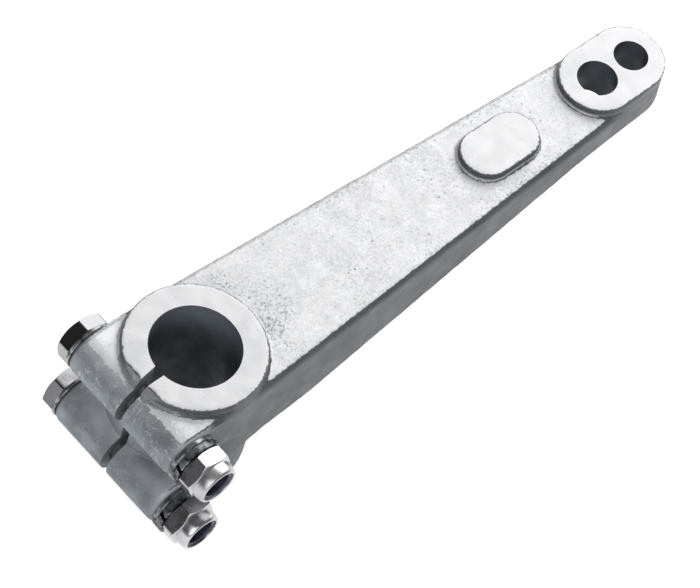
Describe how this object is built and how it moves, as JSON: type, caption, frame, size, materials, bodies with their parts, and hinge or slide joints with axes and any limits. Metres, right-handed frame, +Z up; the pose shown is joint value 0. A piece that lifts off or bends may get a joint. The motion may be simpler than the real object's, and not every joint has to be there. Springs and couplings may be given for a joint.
{
  "type": "rudder arm",
  "caption": "Cast rudder arm with a split clamp for a round stock, closed by bolts with lock nuts, and pin holes at its far end.",
  "frame": {"origin": "axis of the stock bore at the raised ring's face", "axes": "+X along the arm from the clamp to its holed end, +Y towards the bolt heads, +Z up along the stock"},
  "size_m": [0.2363, 0.0683, 0.051],
  "materials": {
    "cast_metal": "as cast, with machined bore and holes",
    "steel": "bright stainless",
    "nylon": "dark blue-black nylon"
  },
  "bodies": {
    "root": {"arm_casting": "cast_metal", "upper_clamp_bolt": "steel", "upper_head_washer": "steel", "upper_nut_washer": "steel", "upper_spring_washer": "steel", "upper_lock_nut": "steel", "upper_nylon_ring": "nylon", "lower_clamp_bolt": "steel", "lower_head_washer": "steel", "lower_nut_washer": "steel", "lower_spring_washer": "steel", "lower_lock_nut": "steel", "lower_nylon_ring": "nylon"}
  },
  "joints": []
}
